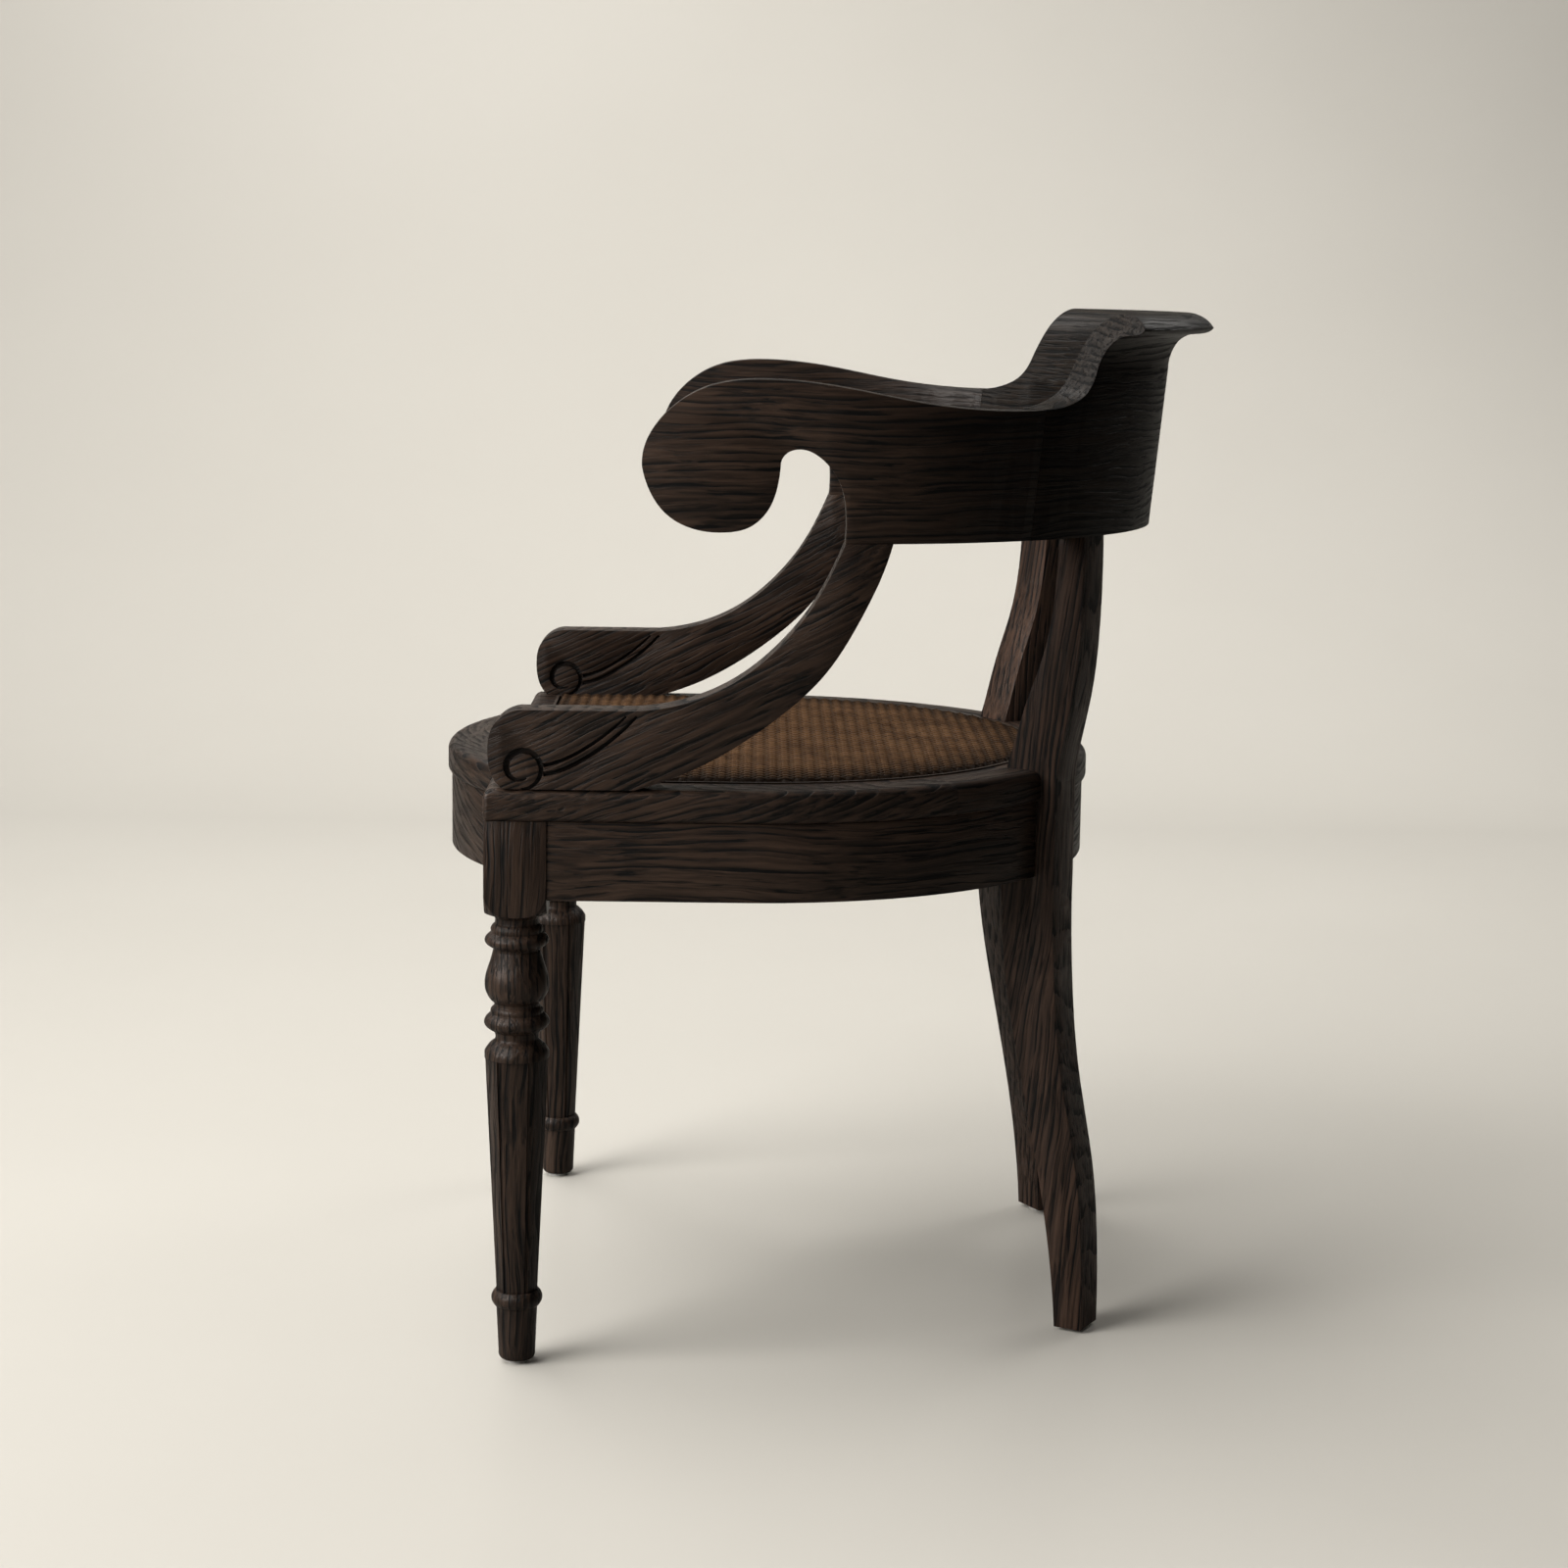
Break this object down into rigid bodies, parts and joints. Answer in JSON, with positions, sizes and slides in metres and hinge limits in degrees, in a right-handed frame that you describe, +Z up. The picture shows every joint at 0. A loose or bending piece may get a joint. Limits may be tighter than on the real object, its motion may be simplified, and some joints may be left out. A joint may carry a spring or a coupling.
{
  "type": "armchair",
  "caption": "Ebonised wooden armchair with a horseshoe back, scrolled arms on volute supports, turned front and sabre rear legs, and a caned bow-fronted seat.",
  "frame": {"origin": "on the floor under the middle of the chair's bounding box", "axes": "+Z up; the front faces -Y; X runs from side to side and +X is the sitter's left"},
  "size_m": [0.573, 0.6339, 0.8241],
  "materials": {
    "ebonised_oak": "ebonised open-grained hardwood with a satin wax",
    "beech": "plain unfinished beech",
    "cane": "woven split cane, aged brown",
    "reed": "dark rattan reed",
    "screw_steel": "plain steel wood screws",
    "glide": "pale matt glides"
  },
  "bodies": {
    "root": {"front_leg_left": "ebonised_oak", "front_leg_right": "ebonised_oak", "rear_leg_left": "ebonised_oak", "rear_leg_right": "ebonised_oak", "apron_left": "ebonised_oak", "apron_right": "ebonised_oak", "seat_rim_left": "ebonised_oak", "seat_rim_right": "ebonised_oak", "corner_block_front_left": "beech", "corner_block_front_right": "beech", "corner_block_rear_left": "beech", "corner_block_rear_right": "beech", "arm_support_left": "ebonised_oak", "arm_support_right": "ebonised_oak", "arm_left": "ebonised_oak", "arm_right": "ebonised_oak", "apron_front": "ebonised_oak", "apron_rear": "ebonised_oak", "seat_rim_front": "ebonised_oak", "seat_rim_rear": "ebonised_oak", "crest_rail": "ebonised_oak", "cane_panel": "cane", "cane_spline": "reed", "rim_dowels": "beech", "support_dowels": "beech", "arm_joint_dowels": "beech", "corner_block_screws": "screw_steel", "rim_screws": "screw_steel", "foot_glides": "glide"}
  },
  "joints": []
}
